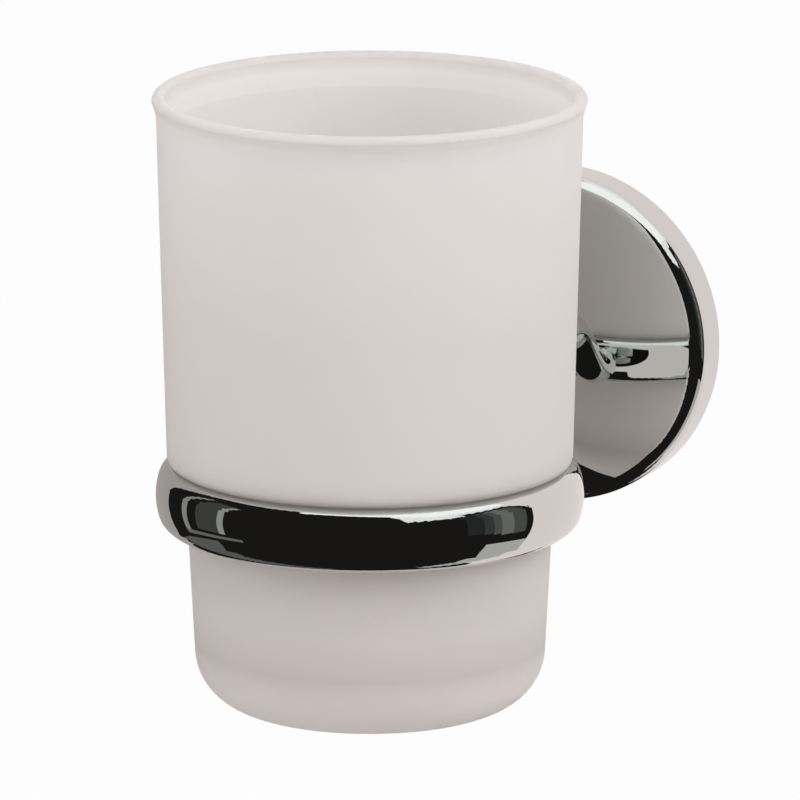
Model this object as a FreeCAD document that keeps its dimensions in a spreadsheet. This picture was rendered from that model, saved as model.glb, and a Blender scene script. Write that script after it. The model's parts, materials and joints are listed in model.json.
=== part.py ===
import FreeCAD, Part
import math
import os
import re

import Sketcher

# A wall-hung bathroom tumbler: a satin glass with a stepped body hangs by its shoulder in a round-faced
# ring. A bent arm carries the ring from a domed rose, which a grub screw locks over a bracket on the wall.
# Millimetres, +Z up, +Y into the wall. The origin is the middle of the rose, on the face of the wall.

SIZES = {
    # Glass tumbler, heights above its base
    "tumbler_height": 98.1,
    "rim_radius": 34.0,
    "lip_round": 1.1,
    "lip_flare": 0.7,
    "flare_height": 4.2,
    "upper_taper": 1.4,
    "shoulder_step": 2.7,
    "shoulder_round": 1.2,
    "shoulder_height": 39.1,
    "lower_taper": 2.0,
    "foot_round": 9.0,
    "foot_land": 2.2,
    "glass_wall": 2.4,
    "glass_base": 8.0,
    "floor_round": 6.0,
    "inner_step": 2.0,
    "punt_depth": 0.8,
    # Ring that the glass hangs in
    "ring_height": 10.2,
    "ring_seat": 2.8,
    "ring_crown": 1.3,
    "ring_edge": 2.8,
    "bore_edge": 0.4,
    "ring_fit": 0.4,
    "seat_gap": 0.1,
    "ring_drop": 11.15,
    # Bent arm from the wall to the back of the ring
    "arm_reach": 39.3,
    "arm_radius": 3.5,
    "arm_low": 0.4,
    "bend_radius": 9.0,
    "bend_angle": 40.0,
    "landing_run": 2.0,
    "braze_gap": 0.05,
    "thread_end": 0.45,
    # Domed rose
    "rose_radius": 27.5,
    "rose_height": 9.0,
    "rose_rim": 3.0,
    "rose_skin": 2.0,
    "rose_edge": 2.5,
    "dome_radius": 190.0,
    "boss_radius": 7.5,
    "boss_drop": 4.0,
    "arm_recess": 1.0,
    "arm_fit": 0.1,
    # Wall bracket under the rose
    "bracket_fit": 0.3,
    "bracket_gap": 0.75,
    "bracket_relief": 0.6,
    "bracket_plate": 1.6,
    "bracket_rim": 3.7,
    "bracket_opening": 7.5,
    "groove_depth": 1.3,
    "slot_length": 7.5,
    "slot_play": 0.3,
    # Fasteners
    "thread_play": 0.1,
    "arm_screw_radius": 2.0,
    "arm_screw_gap": 0.9,
    "arm_head_radius": 3.5,
    "arm_head_height": 2.6,
    "washer_radius": 4.0,
    "washer_thickness": 0.9,
    "washer_split": 0.7,
    "arm_socket": 3.0,
    "socket_depth": 1.5,
    "grub_radius": 1.5,
    "grub_tip": 0.5,
    "grub_sink": 0.3,
    "grub_gap": 0.2,
    "grub_socket": 1.5,
    "wall_screw_radius": 2.0,
    "wall_screw_length": 25.0,
    "wall_shank_radius": 2.2,
    "wall_head_radius": 4.0,
    "wall_head_height": 2.2,
    "wall_head_round": 1.2,
}

# Sizes that several pieces share, worked out from the ones above
DERIVED = {
    "neck_radius": "rim_radius - lip_flare",
    "shoulder_radius": "neck_radius - upper_taper",
    "waist_radius": "shoulder_radius - shoulder_step",
    "foot_radius": "waist_radius - lower_taper",
    "punt_radius": "foot_radius - foot_round - foot_land",
    "ring_bore": "waist_radius + ring_fit",
    "ring_flank": "ring_bore + ring_seat",
    "ring_radius": "ring_flank + ring_crown",
    "ring_arc": "(ring_height * ring_height / 4 + ring_crown * ring_crown) / (2 * ring_crown)",
    "ring_base": "-ring_drop - ring_height / 2",
    "reach": "ring_radius + arm_reach",
    "tumbler_base": "ring_base + ring_height + seat_gap - shoulder_height",
    "rose_bore": "rose_radius - rose_rim",
    "inner_dome": "dome_radius - rose_skin",
    "inner_top": "rose_height - rose_skin",
    "boss_face": "rose_height - boss_drop",
    "arm_root": "rose_height - arm_recess",
    "arm_drop": "ring_drop + arm_low",
    "bend_run": "bend_radius * sin(bend_angle)",
    "bend_drop": "bend_radius * (1 - cos(bend_angle))",
    "bend_end": "arm_reach - landing_run",
    "bend_start": "bend_end - 2 * bend_run - (arm_drop - 2 * bend_drop) / tan(bend_angle)",
    "thread_depth": "bend_start - arm_root - thread_end",
    "washer_face": "boss_face - washer_thickness",
    "arm_screw_length": "arm_root + thread_depth - arm_screw_gap - washer_face",
    "bracket_radius": "rose_bore - bracket_fit",
    "inner_sag": "inner_dome - sqrt(inner_dome * inner_dome - rose_bore * rose_bore)",
    "bracket_height": "inner_top - inner_sag - bracket_gap",
    "plate_edge": "bracket_radius - bracket_rim",
    "plate_face": "bracket_relief + bracket_plate",
    "groove_radius": "bracket_radius - groove_depth",
    "groove_height": "bracket_height / 2",
    "fixing_spacing": "bracket_opening + plate_edge",
}

doc = FreeCAD.newDocument("tumbler_holder")
sheet = doc.addObject("Spreadsheet::Sheet", "Sizes")


def bound(text):
    """Point each size named in an expression at its cell."""
    return re.sub(r"[a-z]\w+", lambda word: known_name(word.group()), text)


def known_name(word):
    return "Sizes." + word if word in SIZES or word in DERIVED else word


def value(text):
    return float(sheet.evalExpression(bound(text)))


def fill_sheet():
    rows = list(SIZES.items()) + list(DERIVED.items())
    for row, (name, content) in enumerate(rows, start=1):
        sheet.set(f"A{row}", name)
        cell = f"B{row}"
        sheet.setAlias(cell, name)
        sheet.set(cell, "=" + content if name in DERIVED else str(content))
    doc.recompute()


def new_body(label):
    body = doc.addObject("PartDesign::Body", label)
    body.Label = label
    return body


def place(item, rotation, x="0", y="0", z="0"):
    """Give a sub-part its place in the whole, each way by an expression."""
    item.Placement = FreeCAD.Placement(FreeCAD.Vector(), rotation)
    for axis, text in (("x", x), ("y", y), ("z", z)):
        item.setExpression(f"Placement.Base.{axis}", bound(text))


def sketch_on(body, name, role, lift=None):
    """A sketch on one of the body's own origin planes, lifted along its normal if asked."""
    plane = next(feature for feature in body.Origin.OriginFeatures if feature.Role == role)
    sketch = body.newObject("Sketcher::SketchObject", name)
    sketch.AttachmentSupport = [(plane, "")]
    sketch.MapMode = "FlatFace"
    if lift:
        sketch.setExpression("AttachmentOffset.Base.z", bound(lift))
    return sketch


def pin_point(sketch, side, end, x, y):
    """Hold one end of a side by its two dimensions from the sketch's origin."""
    for kind, axis, text in (("DistanceX", -2, x), ("DistanceY", -1, y)):
        if text == "0":
            sketch.addConstraint(Sketcher.Constraint("PointOnObject", side, end, axis))
            continue
        rule = sketch.addConstraint(Sketcher.Constraint(kind, -1, 1, side, end, value(text)))
        sketch.setExpression(f"Constraints[{rule}]", bound(text))


def arc_side(start, end, radius, turn):
    """The arc from start to end, less than a half circle, anticlockwise where turn is 1."""
    chord = end - start
    rise = math.sqrt(max(radius ** 2 - chord.Length ** 2 / 4, 0.0))
    across = FreeCAD.Vector(-chord.y, chord.x, 0).normalize()
    centre = (start + end) * 0.5 + across * rise * turn
    first, last = (start, end) if turn > 0 else (end, start)
    angles = [math.atan2(point.y - centre.y, point.x - centre.x) for point in (first, last)]
    return Part.ArcOfCircle(Part.Circle(centre, FreeCAD.Vector(0, 0, 1), radius), *angles)


def outline(sketch, corners, closed=True):
    """Draw sides from corner to corner. A corner is (x, y), or (x, y, radius, turn) after an arc."""
    points = [FreeCAD.Vector(value(corner[0]), value(corner[1]), 0) for corner in corners]
    ends = []
    first = 0 if closed else 1
    for index in range(first, len(corners)):
        corner = corners[index]
        if len(corner) == 2:
            side = sketch.addGeometry(Part.LineSegment(points[index - 1], points[index]))
            ends.append((1, 2))
        else:
            radius, turn = corner[2], corner[3]
            side = sketch.addGeometry(arc_side(points[index - 1], points[index], value(radius), turn))
            ends.append((1, 2) if turn > 0 else (2, 1))
    count = len(ends)
    for side in range(count if closed else count - 1):
        following = (side + 1) % count
        joined = Sketcher.Constraint("Coincident", side, ends[side][1], following, ends[following][0])
        sketch.addConstraint(joined)
    if not closed:
        pin_point(sketch, 0, ends[0][0], corners[0][0], corners[0][1])
    for side in range(count):
        corner = corners[side + first]
        pin_point(sketch, side, ends[side][1], corner[0], corner[1])
        if len(corner) > 2:
            rule = sketch.addConstraint(Sketcher.Constraint("Radius", side, value(corner[2])))
            sketch.setExpression(f"Constraints[{rule}]", bound(corner[2]))
    return sketch


def circle(sketch, x, y, radius):
    """One circle, held by its middle and its radius."""
    middle = FreeCAD.Vector(value(x), value(y), 0)
    side = sketch.addGeometry(Part.Circle(middle, FreeCAD.Vector(0, 0, 1), value(radius)))
    pin_point(sketch, side, 3, x, y)
    rule = sketch.addConstraint(Sketcher.Constraint("Radius", side, value(radius)))
    sketch.setExpression(f"Constraints[{rule}]", bound(radius))
    return sketch


def turned(body, corners, name="Turned"):
    """A piece turned about its own Z axis, from its half section."""
    profile = outline(sketch_on(body, name + "Section", "XZ_Plane"), corners)
    turning = body.newObject("PartDesign::Revolution", name)
    turning.Profile = profile
    turning.ReferenceAxis = (profile, ["V_Axis"])
    turning.Angle = 360
    doc.recompute()
    return turning


def cut(body, name, sketch, depth=None, both_ways=False, reverse=False):
    """Cut a sketch into a body, to a depth or right through, and see that it took something away."""
    before = body.Shape.Volume
    pocket = body.newObject("PartDesign::Pocket", name)
    pocket.Profile = sketch
    pocket.Reversed = reverse
    if depth:
        pocket.setExpression("Length", bound(depth))
    else:
        pocket.Type = "ThroughAll"
    pocket.Midplane = both_ways
    doc.recompute()
    if body.Shape.Volume > before - 1e-6:
        raise RuntimeError(f"{body.Label}: {name} cut nothing")
    return pocket


def round_edge(body, name, size, radius, height):
    """Round the circular edge of a turned piece that has this radius at this height."""
    base = body.Tip
    wanted = (value(radius), value(height))
    edges = []
    for number, edge in enumerate(base.Shape.Edges, start=1):
        if isinstance(edge.Curve, Part.Circle):
            found = (edge.Curve.Radius, edge.Curve.Center.z)
            if math.dist(found, wanted) < 1e-3:
                edges.append(f"Edge{number}")
    fillet = body.newObject("PartDesign::Fillet", name)
    fillet.Base = (base, edges)
    fillet.setExpression("Radius", bound(size))
    doc.recompute()


def hex_socket(body, across, depth, height):
    """A hexagon socket in the flat end of a screw that faces along its Z axis."""
    corners = []
    for angle in range(15, 375, 60):
        corners.append((f"{across} / sqrt(3) * cos({angle})", f"{across} / sqrt(3) * sin({angle})"))
    cut(body, "Socket", outline(sketch_on(body, "SocketSketch", "XY_Plane", height), corners), depth)


UPRIGHT = FreeCAD.Rotation()
# Pieces at the wall are drawn with Z out from the wall and Y down, and turned to stand so
FROM_WALL = FreeCAD.Rotation(FreeCAD.Vector(0, 1, 0), 180) * FreeCAD.Rotation(FreeCAD.Vector(1, 0, 0), 90)
POINT_UP = FreeCAD.Rotation(FreeCAD.Vector(1, 0, 0), 180)


def make_tumbler():
    """Pressed glass: a thick base, a narrow waist that drops into the ring, a shoulder and a flared lip."""
    body = new_body("tumbler")
    flare_rise = "(flare_height - lip_round)"
    flare_out = "(rim_radius - neck_radius)"
    flare_arc = f"({flare_rise} * {flare_rise} + {flare_out} * {flare_out}) / (2 * {flare_out})"
    turned(body, [
        ("0", "punt_depth"),
        ("punt_radius", "punt_depth"),
        ("punt_radius + punt_depth", "0"),
        ("foot_radius", "0"),
        ("waist_radius", "shoulder_height"),
        ("shoulder_radius", "shoulder_height"),
        ("neck_radius", "tumbler_height - flare_height"),
        ("rim_radius", "tumbler_height - lip_round", flare_arc, -1),
        ("rim_radius - lip_round", "tumbler_height", "lip_round", 1),
        ("rim_radius - 2 * lip_round", "tumbler_height - lip_round", "lip_round", 1),
        ("neck_radius - glass_wall", "tumbler_height - flare_height - lip_round"),
        ("shoulder_radius - glass_wall", "shoulder_height + inner_step"),
        ("waist_radius - glass_wall", "shoulder_height - inner_step"),
        ("foot_radius - glass_wall", "glass_base"),
        ("0", "glass_base"),
    ])
    round_edge(body, "FootRound", "foot_round", "foot_radius", "0")
    round_edge(body, "ShoulderRound", "shoulder_round", "shoulder_radius", "shoulder_height")
    round_edge(body, "FloorRound", "floor_round", "foot_radius - glass_wall", "glass_base")
    place(body, UPRIGHT, y="-reach", z="tumbler_base")
    return body


def make_ring():
    """A plain bore, flat seats above and below, and a crowned outer face with full, round edges."""
    body = new_body("holder_ring")
    turned(body, [
        ("ring_bore", "0"),
        ("ring_flank", "0"),
        ("ring_flank", "ring_height", "ring_arc", 1),
        ("ring_bore", "ring_height"),
    ])
    for name, size, radius in (("Face", "ring_edge", "ring_flank"), ("Bore", "bore_edge", "ring_bore")):
        round_edge(body, f"Lower{name}Edge", size, radius, "0")
        round_edge(body, f"Upper{name}Edge", size, radius, "ring_height")
    place(body, UPRIGHT, y="-reach", z="ring_base")
    return body


def make_arm():
    """A round bar with two bends, its end coped to the round face of the ring for brazing."""
    body = new_body("arm")
    section = circle(sketch_on(body, "BarSection", "XY_Plane", "arm_root"), "0", "0", "arm_radius")
    path = outline(sketch_on(body, "BarPath", "YZ_Plane"), [
        ("0", "arm_root"),
        ("0", "bend_start"),
        ("bend_drop", "bend_start + bend_run", "bend_radius", -1),
        ("arm_drop - bend_drop", "bend_end - bend_run"),
        ("arm_drop", "bend_end", "bend_radius", 1),
        ("arm_drop", "reach - ring_flank"),
    ], closed=False)
    bar = body.newObject("PartDesign::AdditivePipe", "Bar")
    bar.Profile = section
    bar.Spine = (path, [f"Edge{number}" for number in range(1, 6)])
    doc.recompute()

    cope = sketch_on(body, "CopeSection", "YZ_Plane")
    upper, lower = "ring_drop - ring_height / 2", "ring_drop + ring_height / 2"
    flank, behind = "reach - ring_flank - braze_gap", "reach - ring_bore"
    outline(cope, [(upper, behind), (upper, flank), (lower, flank, "ring_arc", 1), (lower, behind)])
    ends = [FreeCAD.Vector(value(height), value("reach"), 0) for height in (upper, lower)]
    axis = cope.addGeometry(Part.LineSegment(*ends), True)
    pin_point(cope, axis, 1, upper, "reach")
    pin_point(cope, axis, 2, lower, "reach")
    before = body.Shape.Volume
    groove = body.newObject("PartDesign::Groove", "Cope")
    groove.Profile = cope
    groove.ReferenceAxis = (cope, ["Axis0"])
    groove.Angle = 360
    doc.recompute()
    if body.Shape.Volume > before - 1e-6:
        raise RuntimeError("arm: the cope cut nothing")

    thread = sketch_on(body, "ThreadSketch", "XY_Plane", "arm_root")
    circle(thread, "0", "0", "arm_screw_radius + thread_play")
    cut(body, "Thread", thread, "thread_depth", reverse=True)
    place(body, FROM_WALL)
    return body


def on_dome(radius, dome, top):
    """How far a dome of this radius stands from the wall at a distance from its middle."""
    return f"{top} - {dome} + sqrt({dome} * {dome} - ({radius}) * ({radius}))"


def make_rose():
    """A hollow domed cover with a seat for the arm in its middle and a tapped hole underneath."""
    body = new_body("rose")
    seat = "arm_radius + arm_fit"
    hole = "arm_screw_radius + thread_play"
    turned(body, [
        ("rose_bore", "0"),
        ("rose_radius", "0"),
        ("rose_radius", on_dome("rose_radius", "dome_radius", "rose_height")),
        (seat, on_dome(seat, "dome_radius", "rose_height"), "dome_radius", 1),
        (seat, "arm_root"),
        (hole, "arm_root"),
        (hole, "boss_face"),
        ("boss_radius", "boss_face"),
        ("boss_radius", on_dome("boss_radius", "inner_dome", "inner_top")),
        ("rose_bore", on_dome("rose_bore", "inner_dome", "inner_top"), "inner_dome", -1),
    ])
    edge = on_dome("rose_radius", "dome_radius", "rose_height")
    round_edge(body, "FrontEdge", "rose_edge", "rose_radius", edge)
    grub = sketch_on(body, "GrubSketch", "XZ_Plane")
    circle(grub, "0", "groove_height", "grub_radius + thread_play")
    cut(body, "GrubHole", grub)
    place(body, FROM_WALL)
    return body


def make_bracket():
    """A plate in a grooved rim that the rose fits over. It stands off the wall, with a slot for each screw."""
    body = new_body("wall_bracket")
    turned(body, [
        ("bracket_opening", "bracket_relief"),
        ("plate_edge", "bracket_relief"),
        ("plate_edge", "0"),
        ("bracket_radius", "0"),
        ("bracket_radius", "groove_height - groove_depth"),
        ("groove_radius", "groove_height"),
        ("bracket_radius", "groove_height + groove_depth"),
        ("bracket_radius", "bracket_height"),
        ("plate_edge", "bracket_height"),
        ("plate_edge", "plate_face"),
        ("bracket_opening", "plate_face"),
    ])
    half_width = "(wall_shank_radius + slot_play)"
    straight = f"(slot_length / 2 - {half_width})"
    left, right = f"fixing_spacing / 2 - {half_width}", f"fixing_spacing / 2 + {half_width}"
    slot = sketch_on(body, "SlotSketch", "XY_Plane")
    middle, end = "fixing_spacing / 2", "slot_length / 2"
    outline(slot, [
        (left, f"-{straight}"),
        (middle, f"-{end}", half_width, 1),
        (right, f"-{straight}", half_width, 1),
        (right, straight),
        (middle, end, half_width, 1),
        (left, straight, half_width, 1),
    ])
    pocket = cut(body, "Slot", slot, reverse=True)
    pair = body.newObject("PartDesign::Mirrored", "SlotPair")
    pair.Originals = [pocket]
    pair.MirrorPlane = (slot, ["V_Axis"])
    body.Tip = pair
    doc.recompute()
    place(body, FROM_WALL)
    return body


def make_arm_screw():
    """The screw that draws the arm down on the rose, driven from behind."""
    body = new_body("arm_screw")
    turned(body, [
        ("0", "0"),
        ("arm_screw_radius", "0"),
        ("arm_screw_radius", "arm_screw_length"),
        ("arm_head_radius", "arm_screw_length"),
        ("arm_head_radius", "arm_screw_length + arm_head_height"),
        ("0", "arm_screw_length + arm_head_height"),
    ])
    hex_socket(body, "arm_socket", "socket_depth", "arm_screw_length + arm_head_height")
    place(body, FROM_WALL * POINT_UP, y="-washer_face - arm_screw_length")
    return body


def make_washer():
    """A split spring washer under the head of the arm screw."""
    body = new_body("lock_washer")
    turned(body, [
        ("arm_screw_radius + thread_play", "0"),
        ("washer_radius", "0"),
        ("washer_radius", "washer_thickness"),
        ("arm_screw_radius + thread_play", "washer_thickness"),
    ])
    split = sketch_on(body, "SplitSketch", "XY_Plane")
    side = "washer_split / 2"
    far = "washer_radius + washer_split"
    outline(split, [(f"-{side}", "washer_split"), (side, "washer_split"), (side, far), (f"-{side}", far)])
    cut(body, "Split", split, reverse=True)
    place(body, FROM_WALL, y="-washer_face")
    return body


def make_grub_screw():
    """The headless screw under the rose, whose cone point sits in the bracket's groove."""
    body = new_body("grub_screw")
    point = "groove_radius + grub_gap + grub_tip"
    length = f"(rose_radius - grub_sink - ({point}))"
    turned(body, [
        ("0", "0"),
        ("grub_tip", "0"),
        ("grub_radius", "grub_radius - grub_tip"),
        ("grub_radius", length),
        ("0", length),
    ])
    hex_socket(body, "grub_socket", "socket_depth", length)
    place(body, POINT_UP, y="-groove_height", z=f"-({point})")
    return body


def make_wall_screws():
    """A pan-head screw with a plain shank in the bracket, and its mirror image on the left."""
    right = new_body("wall_screw_right")
    in_wall = "wall_screw_length - plate_face"
    top = "wall_screw_length + wall_head_height"
    turned(right, [
        ("0", "0"),
        ("wall_screw_radius", "wall_screw_radius"),
        ("wall_screw_radius", in_wall),
        ("wall_shank_radius", in_wall),
        ("wall_shank_radius", "wall_screw_length"),
        ("wall_head_radius", "wall_screw_length"),
        ("wall_head_radius", top),
        ("0", top),
    ])
    round_edge(right, "HeadRound", "wall_head_round", "wall_head_radius", top)
    place(right, FROM_WALL, x="fixing_spacing / 2", y=in_wall)
    left = doc.addObject("Part::Mirroring", "wall_screw_left")
    left.Source = right
    left.Base = FreeCAD.Vector()
    left.Normal = FreeCAD.Vector(1, 0, 0)
    pair = doc.addObject("Part::Compound", "wall_screws")
    pair.Links = [right, left]
    return pair


def check(pieces):
    """Stop before anything is written if a feature failed or a piece isn't sound."""
    for item in doc.Objects:
        if {"Invalid", "Error"} & set(item.State):
            raise RuntimeError(f"{item.Label} failed: {item.State}")
    for piece in pieces:
        shape = piece.Shape
        if shape.isNull() or not shape.isValid() or not shape.Solids:
            raise RuntimeError(f"{piece.Label} has no sound solid")


def main():
    fill_sheet()
    makers = (make_tumbler, make_ring, make_arm, make_rose, make_bracket, make_arm_screw, make_washer,
              make_grub_screw, make_wall_screws)
    pieces = [maker() for maker in makers]
    doc.recompute()
    check(pieces)
    os.makedirs("parts", exist_ok=True)
    for piece in pieces:
        piece.Shape.exportStep(f"parts/{piece.Label}.step")
        print(piece.Label, len(piece.Shape.Solids), round(piece.Shape.Volume, 1), piece.Shape.BoundBox)


main()
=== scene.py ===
import json
import math

import bpy
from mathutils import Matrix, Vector


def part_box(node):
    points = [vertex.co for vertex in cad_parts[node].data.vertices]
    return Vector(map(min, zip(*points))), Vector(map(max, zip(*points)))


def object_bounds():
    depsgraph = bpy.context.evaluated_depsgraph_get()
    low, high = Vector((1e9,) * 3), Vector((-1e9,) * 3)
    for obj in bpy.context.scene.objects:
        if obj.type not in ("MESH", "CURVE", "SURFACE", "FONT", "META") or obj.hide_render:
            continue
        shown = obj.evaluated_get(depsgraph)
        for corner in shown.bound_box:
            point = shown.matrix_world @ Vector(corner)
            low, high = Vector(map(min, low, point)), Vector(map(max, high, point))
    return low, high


# A satin glass tumbler in its chrome wall holder, seen from the front right and a little above.
# Metres, +Z up, +Y into the wall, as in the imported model.

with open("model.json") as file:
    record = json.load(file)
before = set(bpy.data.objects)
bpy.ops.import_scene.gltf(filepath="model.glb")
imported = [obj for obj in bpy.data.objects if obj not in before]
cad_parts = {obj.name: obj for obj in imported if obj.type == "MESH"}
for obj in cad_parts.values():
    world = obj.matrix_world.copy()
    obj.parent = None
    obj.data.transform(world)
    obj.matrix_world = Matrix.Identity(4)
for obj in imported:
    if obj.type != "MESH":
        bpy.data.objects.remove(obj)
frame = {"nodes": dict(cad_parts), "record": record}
cad_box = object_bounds()

# How pale the satin glass is from its foot (0) to its lip (1): the thick base shows as a dim band. The
# ramp also holds painted light and shade: the paler foot and the paler band under the lip are painted
# light where shade falls, and the darker lip is painted shade.
GLASS_COLOUR = (0.875, 0.80, 0.775)
GLASS_TONES_AND_PAINTED_LIGHT = ((0.0, 1.06), (0.05, 1.03), (0.105, 0.78), (0.17, 0.90), (0.36, 0.91), (0.42, 0.945),
               (0.66, 0.945), (0.95, 1.065), (0.972, 1.05), (0.988, 0.78), (1.0, 0.63))

# Camera: where it stands round the ring's axis, and what lies in the middle of the picture
CAMERA_AZIMUTH = math.radians(25.87)
CAMERA_ELEVATION = math.radians(13.55)
CAMERA_DISTANCE = 1.522
PICTURE_WIDTH = 0.1255
AIM_RIGHT = 0.00472
AIM_DOWN = 0.00304
AIM_ABOVE_FOOT = 0.0520

# What the chrome mirrors: dark surroundings, and pale or grey cards a little nearer. Each has its left,
# right, low and high limits in degrees from the camera, its distance in metres and its colour.
BLACK = (0.012, 0.011, 0.010)
STUDIO = (
    ("dark_front", -134, 20, -90, 90, 0.60, BLACK),
    ("dark_right", 20, 95, -90, 32, 0.60, BLACK),
    ("dark_right_high", 58, 95, 32, 44, 0.60, BLACK),
    ("dark_below", 150, 226, -90, -35, 0.60, BLACK),
    ("dark_below_right", 95, 150, -90, -62, 0.60, BLACK),
    ("dark_above", -180, -134, 55, 90, 0.60, BLACK),
    ("grey_left", -176, -134, -35, 55, 0.61, (0.42, 0.38, 0.365)),
    ("warm_right", 95, 200, -90, 60, 0.62, (0.90, 0.80, 0.785)),
    ("pale_edge", -117, -112, -20, 40, 0.58, (0.28, 0.28, 0.27)),
    ("dim_pane", -104, -87, -17, 38, 0.58, (0.060, 0.060, 0.057)),
    ("pale_bar", -87, -82.5, -17, 36, 0.58, (0.33, 0.33, 0.32)),
    ("grey_strip", -117, -72, -23, -20, 0.58, (0.16, 0.16, 0.15)),
    ("dim_left", -130, -92, -80, -26, 0.59, (0.12, 0.12, 0.115)),
    ("stripe_1", 52, 62, -8, 34, 0.58, (0.024, 0.026, 0.025)),
    ("stripe_2", 62, 68, -10, 36, 0.58, (0.045, 0.048, 0.046)),
    ("stripe_3", 68, 73, -12, 37, 0.58, (0.09, 0.09, 0.086)),
    ("stripe_4", 73, 81, -14, 38, 0.58, (0.17, 0.17, 0.163)),
    ("stripe_5", 81, 90, -15, 38, 0.58, (0.085, 0.085, 0.081)),
    ("grey_right", 66, 95, -75, -24, 0.58, (0.50, 0.485, 0.47)),
)

# A pale panel over the glass that glows and is seen only in the chrome: a painted highlight on the
# upper edge of the rose and the top of the ring
PANEL_LEFT, PANEL_RIGHT = -0.04, 0.115
PANEL_FRONT, PANEL_BACK = -0.13, 0.0
PANEL_LEVEL = 0.125
PANEL_COLOUR = (1.0, 0.985, 0.97)
PANEL_STRENGTH = 1.2

# Lamps: degrees to the right of the camera and above the horizon, distance and size in metres, watts
LAMPS = (
    ("key", 66, 35, 1.0, 0.8, 4.7),
    ("fill", -60, 25, 1.2, 1.0, 3.0),
    ("top", -20, 80, 1.0, 0.5, 2),
    ("front", -15, 58, 1.0, 0.5, 3.1),
)

# The floor lies below the part, which hangs on a wall. The camera sees it as nearly plain white.
FLOOR_BELOW = 0.06
FLOOR_HALF = 6.0
FLOOR_COLOUR = (0.54, 0.52, 0.51)
FLOOR_WHITE = 0.97

# Strength of the white surroundings where they are seen or mirrored, and where they light the part
WORLD_SEEN = 1.0
WORLD_LIGHT = 0.34


def middle(node):
    low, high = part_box(node)
    return (low + high) / 2


def towards_camera(azimuth, elevation):
    """A direction given by its angles to the right of the camera and above the horizon."""
    turn = CAMERA_AZIMUTH + azimuth
    level = math.cos(elevation)
    return Vector((math.sin(turn) * level, -math.cos(turn) * level, math.sin(elevation)))


def add_camera():
    back = towards_camera(0, CAMERA_ELEVATION)
    right = Vector((math.cos(CAMERA_AZIMUTH), math.sin(CAMERA_AZIMUTH), 0))
    up = back.cross(right)
    foot = middle("tumbler")
    foot.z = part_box("tumbler")[0].z
    aim = foot + Vector((0, 0, AIM_ABOVE_FOOT)) + right * AIM_RIGHT - up * AIM_DOWN
    data = bpy.data.cameras.new("camera")
    data.sensor_width = 36
    data.lens = data.sensor_width * CAMERA_DISTANCE / PICTURE_WIDTH
    data.clip_end = 20
    camera = bpy.data.objects.new("camera", data)
    camera.location = aim + back * CAMERA_DISTANCE
    camera.rotation_mode = "QUATERNION"
    camera.rotation_quaternion = (-back).to_track_quat("-Z", "Y")
    bpy.context.scene.collection.objects.link(camera)
    bpy.context.scene.camera = camera


def new_material(name):
    material = bpy.data.materials.new(name)
    material.use_nodes = True
    return material, material.node_tree, material.node_tree.nodes["Principled BSDF"]


def noise(tree, scale, detail=3.0):
    """Noise in the object's own metres, so that grain keeps its real size."""
    place = tree.nodes.new("ShaderNodeTexCoord")
    texture = tree.nodes.new("ShaderNodeTexNoise")
    texture.inputs["Scale"].default_value = scale
    texture.inputs["Detail"].default_value = detail
    tree.links.new(place.outputs["Object"], texture.inputs["Vector"])
    return texture.outputs["Fac"]


def spread(tree, source, low, high):
    """Spread a noise over a range of values."""
    node = tree.nodes.new("ShaderNodeMapRange")
    node.inputs["From Min"].default_value = 0.3
    node.inputs["From Max"].default_value = 0.7
    node.inputs["To Min"].default_value = low
    node.inputs["To Max"].default_value = high
    tree.links.new(source, node.inputs["Value"])
    return node.outputs["Result"]


def bump(tree, shader, source, depth, strength=1.0):
    node = tree.nodes.new("ShaderNodeBump")
    node.inputs["Strength"].default_value = strength
    node.inputs["Distance"].default_value = depth
    tree.links.new(source, node.inputs["Height"])
    tree.links.new(node.outputs["Normal"], shader.inputs["Normal"])


def satin_glass():
    material, tree, shader = new_material("satin_glass_with_painted_light")
    place = tree.nodes.new("ShaderNodeTexCoord")
    height = tree.nodes.new("ShaderNodeSeparateXYZ")
    # Painted light and shade in the glass colour: a paler foot and a paler band under the lip, and a
    # darker lip
    glass_ramp_with_painted_light = tree.nodes.new("ShaderNodeValToRGB")
    stops = glass_ramp_with_painted_light.color_ramp.elements
    while len(stops) < len(GLASS_TONES_AND_PAINTED_LIGHT):
        stops.new(0.5)
    for stop, (level, tone) in zip(stops, GLASS_TONES_AND_PAINTED_LIGHT):
        stop.position = level
        stop.color = (*(tone * channel for channel in GLASS_COLOUR), 1)
    tree.links.new(place.outputs["Generated"], height.inputs["Vector"])
    tree.links.new(height.outputs["Z"], glass_ramp_with_painted_light.inputs["Fac"])
    tree.links.new(glass_ramp_with_painted_light.outputs["Color"], shader.inputs["Base Color"])
    shader.inputs["Subsurface Weight"].default_value = 1.0
    shader.inputs["Subsurface Radius"].default_value = (1.0, 1.0, 1.0)
    shader.inputs["Subsurface Scale"].default_value = 0.008
    shader.inputs["IOR"].default_value = 1.5
    shader.inputs["Specular IOR Level"].default_value = 0.12
    tree.links.new(spread(tree, noise(tree, 900), 0.48, 0.62), shader.inputs["Roughness"])
    bump(tree, shader, noise(tree, 6000, 2.0), 0.00002, 0.3)
    return material


def chrome():
    material, tree, shader = new_material("chrome_finish")
    shader.inputs["Base Color"].default_value = (0.695, 0.73, 0.715, 1)
    shader.inputs["Metallic"].default_value = 1.0
    tree.links.new(spread(tree, noise(tree, 60), 0.004, 0.02), shader.inputs["Roughness"])
    return material


def bracket_zinc():
    material, tree, shader = new_material("bracket_zinc_finish")
    shader.inputs["Base Color"].default_value = (0.42, 0.43, 0.44, 1)
    shader.inputs["Metallic"].default_value = 0.9
    tree.links.new(spread(tree, noise(tree, 400), 0.42, 0.58), shader.inputs["Roughness"])
    bump(tree, shader, noise(tree, 1500), 0.00005, 0.4)
    return material


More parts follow.
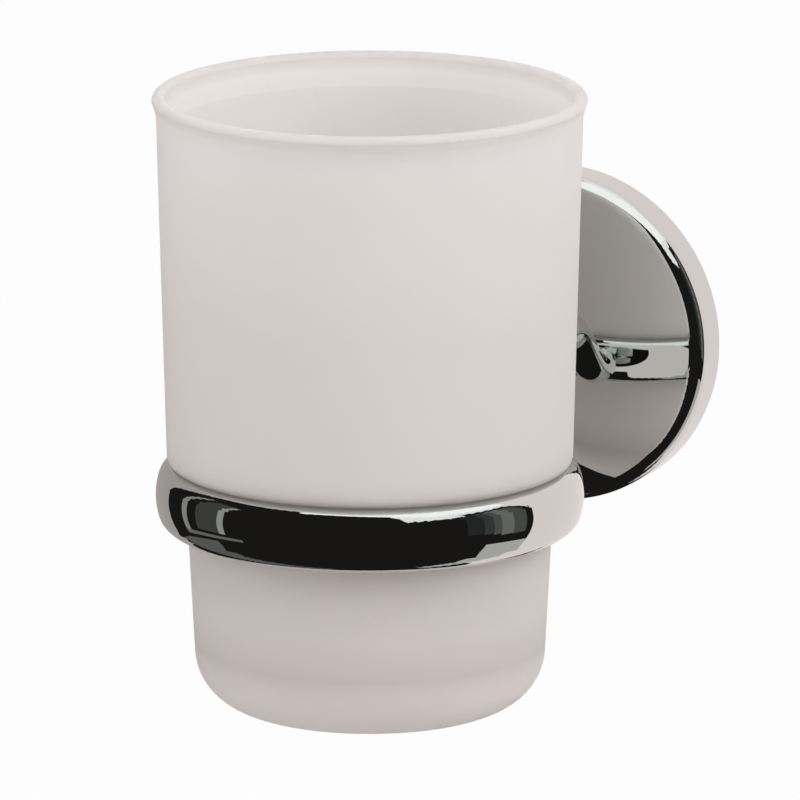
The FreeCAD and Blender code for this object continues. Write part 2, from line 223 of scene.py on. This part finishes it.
def screw_steel():
    material, tree, shader = new_material("screw_steel_finish")
    shader.inputs["Base Color"].default_value = (0.58, 0.58, 0.57, 1)
    shader.inputs["Metallic"].default_value = 1.0
    tree.links.new(spread(tree, noise(tree, 700), 0.22, 0.36), shader.inputs["Roughness"])
    bump(tree, shader, noise(tree, 2500), 0.00002, 0.3)
    return material


def dress_nodes():
    """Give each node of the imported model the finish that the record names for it."""
    finishes = {make.__name__: make() for make in (satin_glass, chrome, bracket_zinc, screw_steel)}
    for part in frame["record"]["subparts"]:
        node = frame["nodes"][part["node"]]
        finish = finishes.get(part["material_slot"], finishes["screw_steel"])
        for slot in node.material_slots:
            slot.material = finish


def mesh_object(name, points, faces, material):
    mesh = bpy.data.meshes.new(name)
    mesh.from_pydata(points, [], faces)
    mesh.materials.append(material)
    item = bpy.data.objects.new(name, mesh)
    bpy.context.scene.collection.objects.link(item)
    return item


def emission(name, colour, strength=1.0):
    material = bpy.data.materials.new(name)
    material.use_nodes = True
    tree = material.node_tree
    tree.nodes.clear()
    output = tree.nodes.new("ShaderNodeOutputMaterial")
    glow = tree.nodes.new("ShaderNodeEmission")
    glow.inputs["Color"].default_value = (*colour, 1)
    glow.inputs["Strength"].default_value = strength
    tree.links.new(glow.outputs[0], output.inputs["Surface"])
    return material


def only_mirrored(item):
    """Let polished metal see a card, and nothing else."""
    item.visible_camera = False
    item.visible_diffuse = False
    item.visible_transmission = False
    item.visible_shadow = False


def card(name, left, right, low, high, distance, colour):
    """A curved card round the ring. Its limits are angles in degrees from the camera."""
    centre = middle("holder_ring")
    across, upward = 48, 24
    points = []
    for row in range(upward + 1):
        elevation = math.radians(low + (high - low) * row / upward)
        for column in range(across + 1):
            azimuth = math.radians(left + (right - left) * column / across)
            points.append(centre + distance * towards_camera(azimuth, elevation))
    faces = []
    for row in range(upward):
        for column in range(across):
            corner = row * (across + 1) + column
            faces.append((corner, corner + 1, corner + across + 2, corner + across + 1))
    item = mesh_object(name, points, faces, emission(name, colour))
    only_mirrored(item)


def add_painted_highlight_panel():
    corners = [
        (PANEL_LEFT, PANEL_FRONT, PANEL_LEVEL),
        (PANEL_RIGHT, PANEL_FRONT, PANEL_LEVEL),
        (PANEL_RIGHT, PANEL_BACK, PANEL_LEVEL),
        (PANEL_LEFT, PANEL_BACK, PANEL_LEVEL),
    ]
    # A glowing panel seen only in reflections, not a lamp: a painted highlight
    material = emission("pale_panel", PANEL_COLOUR, PANEL_STRENGTH)
    only_mirrored(mesh_object("pale_panel", corners, [(0, 1, 2, 3)], material))


def add_floor():
    material = bpy.data.materials.new("floor")
    material.use_nodes = True
    tree = material.node_tree
    shader = tree.nodes["Principled BSDF"]
    shader.inputs["Base Color"].default_value = (*FLOOR_COLOUR, 1)
    shader.inputs["Roughness"].default_value = 0.9
    glow = tree.nodes.new("ShaderNodeEmission")
    ray = tree.nodes.new("ShaderNodeLightPath")
    share = tree.nodes.new("ShaderNodeMath")
    share.operation = "MULTIPLY"
    share.inputs[1].default_value = FLOOR_WHITE
    mix = tree.nodes.new("ShaderNodeMixShader")
    tree.links.new(ray.outputs["Is Camera Ray"], share.inputs[0])
    tree.links.new(share.outputs[0], mix.inputs["Fac"])
    tree.links.new(shader.outputs[0], mix.inputs[1])
    tree.links.new(glow.outputs[0], mix.inputs[2])
    tree.links.new(mix.outputs[0], tree.nodes["Material Output"].inputs["Surface"])
    half, level = FLOOR_HALF, cad_box[0].z - FLOOR_BELOW
    corners = [(-half, -half, level), (half, -half, level), (half, half, level), (-half, half, level)]
    floor = mesh_object("floor", corners, [(0, 1, 2, 3)], material)
    floor.visible_glossy = False


def add_world():
    world = bpy.data.worlds.new("studio")
    world.use_nodes = True
    tree = world.node_tree
    background = tree.nodes["Background"]
    background.inputs["Color"].default_value = (1, 1, 1, 1)
    ray = tree.nodes.new("ShaderNodeLightPath")
    seen = tree.nodes.new("ShaderNodeMath")
    seen.operation = "ADD"
    seen_more = tree.nodes.new("ShaderNodeMath")
    seen_more.operation = "ADD"
    strength = tree.nodes.new("ShaderNodeMapRange")
    strength.inputs["To Min"].default_value = WORLD_LIGHT
    strength.inputs["To Max"].default_value = WORLD_SEEN
    tree.links.new(ray.outputs["Is Camera Ray"], seen.inputs[0])
    tree.links.new(ray.outputs["Is Glossy Ray"], seen.inputs[1])
    tree.links.new(seen.outputs[0], seen_more.inputs[0])
    tree.links.new(ray.outputs["Is Transmission Ray"], seen_more.inputs[1])
    tree.links.new(seen_more.outputs[0], strength.inputs["Value"])
    tree.links.new(strength.outputs["Result"], background.inputs["Strength"])
    bpy.context.scene.world = world


def add_light(name, azimuth, elevation, distance, size, power):
    data = bpy.data.lights.new(name, "AREA")
    data.shape = "DISK"
    data.size = size
    data.energy = power
    light = bpy.data.objects.new(name, data)
    direction = towards_camera(math.radians(azimuth), math.radians(elevation))
    light.location = middle("tumbler") + direction * distance
    light.rotation_mode = "QUATERNION"
    light.rotation_quaternion = (-direction).to_track_quat("-Z", "Y")
    light.visible_glossy = False
    light.visible_camera = False
    bpy.context.scene.collection.objects.link(light)


dress_nodes()
add_floor()
add_world()
for lamp in LAMPS:
    add_light(*lamp)
for limits in STUDIO:
    card(*limits)
add_painted_highlight_panel()
add_camera()

bpy.context.scene.view_settings.view_transform = "Standard"
